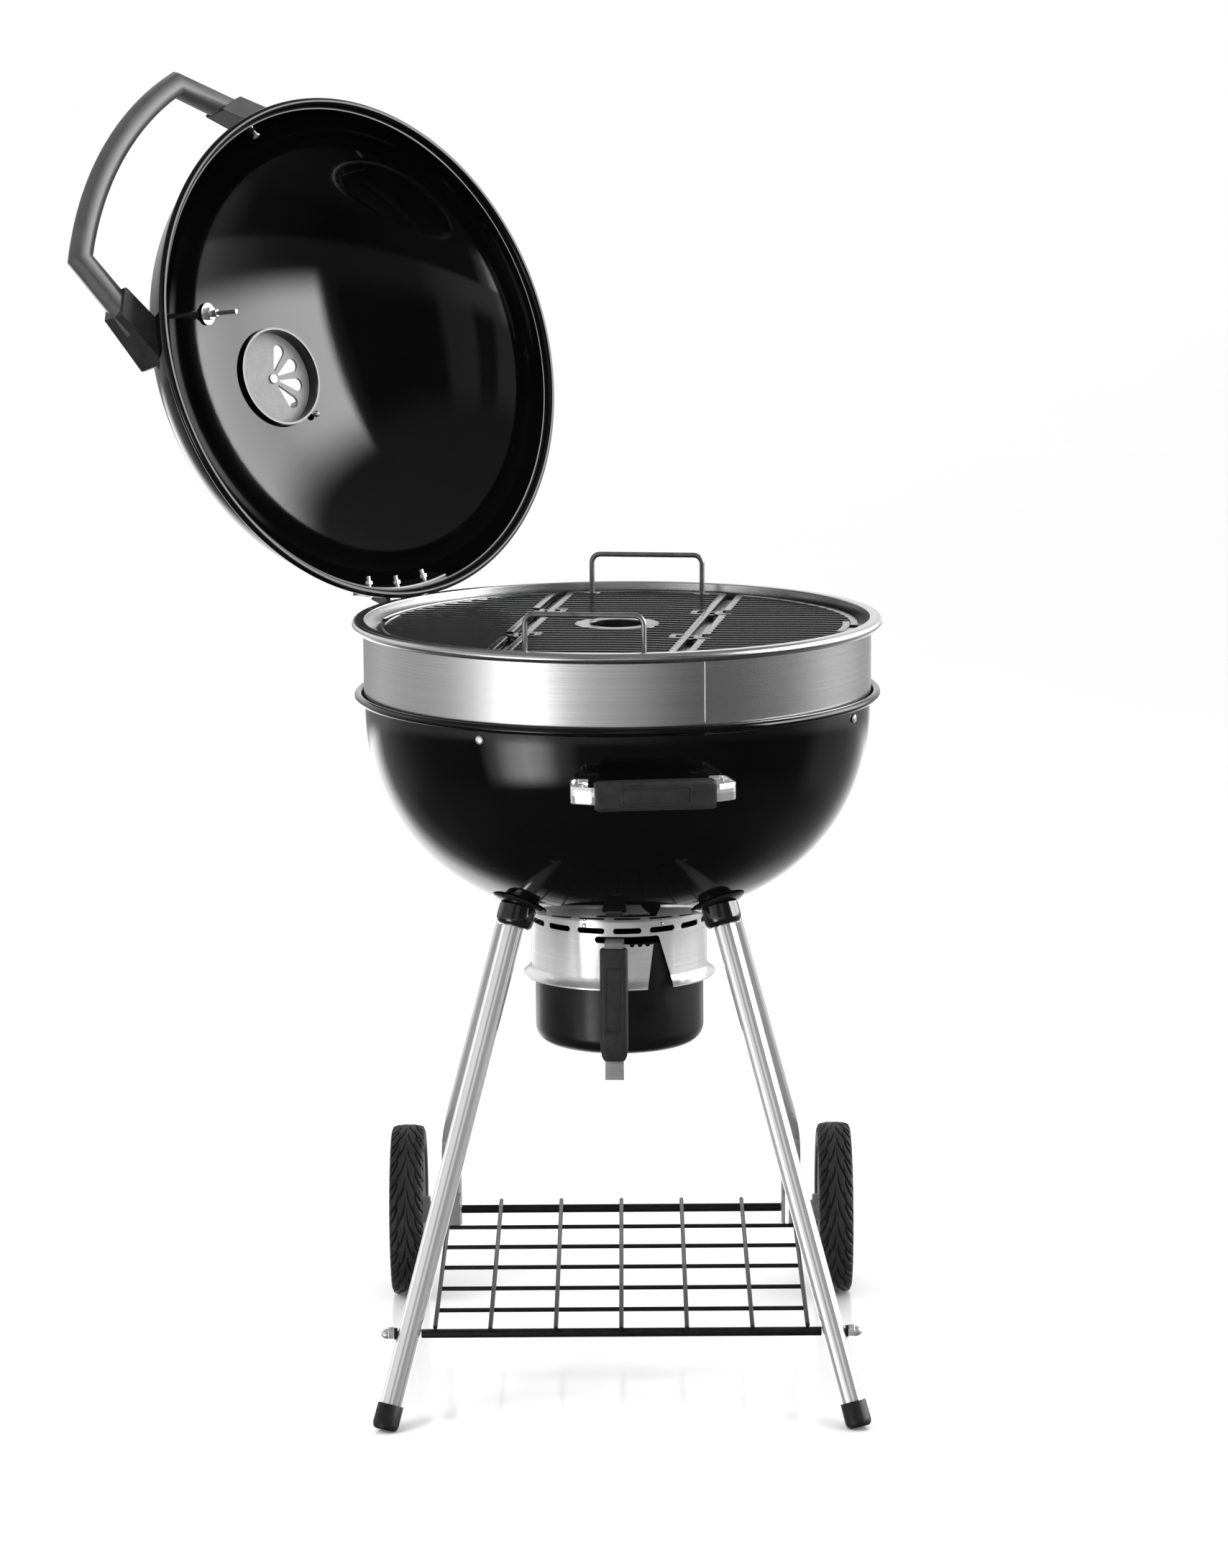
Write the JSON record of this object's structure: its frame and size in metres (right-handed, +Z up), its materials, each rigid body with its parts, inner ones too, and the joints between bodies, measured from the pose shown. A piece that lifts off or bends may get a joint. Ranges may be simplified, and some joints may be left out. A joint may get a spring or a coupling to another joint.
{
  "type": "kettle charcoal grill",
  "caption": "Round kettle charcoal grill on a trolley with a side-hinged dome lid, a flip-up cast grate, an ash catcher, a wire shelf and wheels at the back.",
  "frame": {"origin": "on the floor under the middle of the whole grill as it stands with its lid open; the kettle's axis stands 163 mm to +X and 95 mm to -Y of it", "axes": "+Z up, the front with the bowl's handle and the ash handle faces -Y, +X to the right seen from the front"},
  "size_m": [0.9219, 0.8805, 1.4572],
  "materials": {
    "gloss_enamel": "gloss porcelain enamel",
    "brushed_stainless": "brushed round the band",
    "black_enamel_fittings": "satin black enamel",
    "cast_iron": "matt enamelled cast iron",
    "plated_rod": "satin plated rod",
    "satin_black_pot": "satin black",
    "steel_strap": "dark grey satin",
    "grip_rubber": "soft-touch dark grey",
    "gloss_plastic": "gloss black moulded",
    "cap_rubber": "matt black",
    "chrome": "polished",
    "bright_fasteners": "bright zinc and nickel",
    "powder_coat": "satin black powder coat",
    "tyre_rubber": "matt black moulded tread",
    "wheel_plastic": "satin grey",
    "dial_glass": "clear",
    "dial_face": "matt white",
    "dial_needle": "satin red"
  },
  "bodies": {
    "grill": {"bowl": "gloss_enamel", "bowl_screws": "bright_fasteners", "steel_band": "brushed_stainless", "grate_ledge": "black_enamel_fittings", "charcoal_grate": "plated_rod", "cooking_grate": "cast_iron", "grate_pins": "bright_fasteners", "grate_handle_front": "plated_rod", "grate_handle_rear": "plated_rod", "ash_collar": "brushed_stainless", "collar_rivets": "bright_fasteners", "bowl_handle_strap": "chrome", "bowl_handle_grip": "grip_rubber", "bowl_handle_screws": "bright_fasteners", "band_hinge_bracket": "steel_strap", "band_hinge_bolts": "bright_fasteners", "hinge_pin": "bright_fasteners", "socket_front_left": "gloss_plastic", "socket_front_right": "gloss_plastic", "socket_rear_left": "gloss_plastic", "socket_rear_right": "gloss_plastic", "leg_front_left": "chrome", "leg_front_right": "chrome", "leg_rear_left": "chrome", "leg_rear_right": "chrome", "foot_cap_left": "cap_rubber", "foot_cap_right": "cap_rubber", "shelf_front_bar": "powder_coat", "shelf_wires": "powder_coat", "axle": "bright_fasteners", "axle_spacers": "bright_fasteners", "acorn_nuts": "bright_fasteners"},
    "lid": {"lid_shell": "gloss_enamel", "vent_collar": "black_enamel_fittings", "vent_plate": "brushed_stainless", "lid_handle": "grip_rubber", "handle_boot_left": "gloss_plastic", "handle_boot_right": "gloss_plastic", "handle_screws": "bright_fasteners", "lid_hinge_bracket": "steel_strap", "hinge_backing_plate": "black_enamel_fittings", "hinge_bolts": "bright_fasteners", "lid_peg": "bright_fasteners", "thermometer_case": "chrome", "thermometer_glass": "dial_glass", "thermometer_face": "dial_face", "thermometer_probe": "bright_fasteners", "probe_nut": "bright_fasteners"},
    "vent": {"vent_damper": "brushed_stainless", "damper_knob": "brushed_stainless"},
    "needle": {"thermometer_needle": "dial_needle"},
    "left_leaf": {"grate_leaf_left": "cast_iron"},
    "right_leaf": {"grate_leaf_right": "cast_iron"},
    "ash_catcher": {"ash_pot": "satin_black_pot", "ash_strap": "steel_strap", "ash_grip": "grip_rubber"},
    "left_wheel": {"tyre_left": "tyre_rubber", "wheel_left": "wheel_plastic"},
    "right_wheel": {"tyre_right": "tyre_rubber", "wheel_right": "wheel_plastic"}
  },
  "joints": [
    {"name": "lid_hinge", "type": "hinge", "parent": "grill", "child": "lid", "pos_m": [-0.05705, 0.12505, 0.8456], "axis": [-0.7071, -0.7071, 0], "range_deg": [-106.67, 0]},
    {"name": "vent_turn", "type": "hinge", "parent": "lid", "child": "vent", "pos_m": [-0.24854, 0.31654, 1.08936], "axis": [-0.6774, 0.6774, -0.2869], "range_deg": [0, 180]},
    {"name": "needle_turn", "type": "hinge", "parent": "lid", "child": "needle", "pos_m": [-0.32672, 0.24528, 1.17346], "axis": [-0.8378, 0.5335, -0.1162], "range_deg": [-270, 0]},
    {"name": "left_leaf_flip", "type": "hinge", "parent": "grill", "child": "left_leaf", "pos_m": [0.06199, -0.0808, 0.84625], "axis": [0.1392, 0.9903, 0], "range_deg": [0, 105]},
    {"name": "right_leaf_flip", "type": "hinge", "parent": "grill", "child": "right_leaf", "pos_m": [0.26401, -0.1092, 0.84625], "axis": [-0.1392, -0.9903, 0], "range_deg": [0, 105]},
    {"name": "ash_pot_turn", "type": "hinge", "parent": "grill", "child": "ash_catcher", "pos_m": [0.163, -0.095, 0.44], "axis": [0, 0, 1], "range_deg": [-6, 17]},
    {"name": "left_wheel_spin", "type": "hinge", "parent": "grill", "child": "left_wheel", "pos_m": [-0.092, 0.1875, 0.102], "axis": [1, 0, 0], "continuous": true},
    {"name": "right_wheel_spin", "type": "hinge", "parent": "grill", "child": "right_wheel", "pos_m": [0.418, 0.1875, 0.102], "axis": [1, 0, 0], "continuous": true}
  ]
}
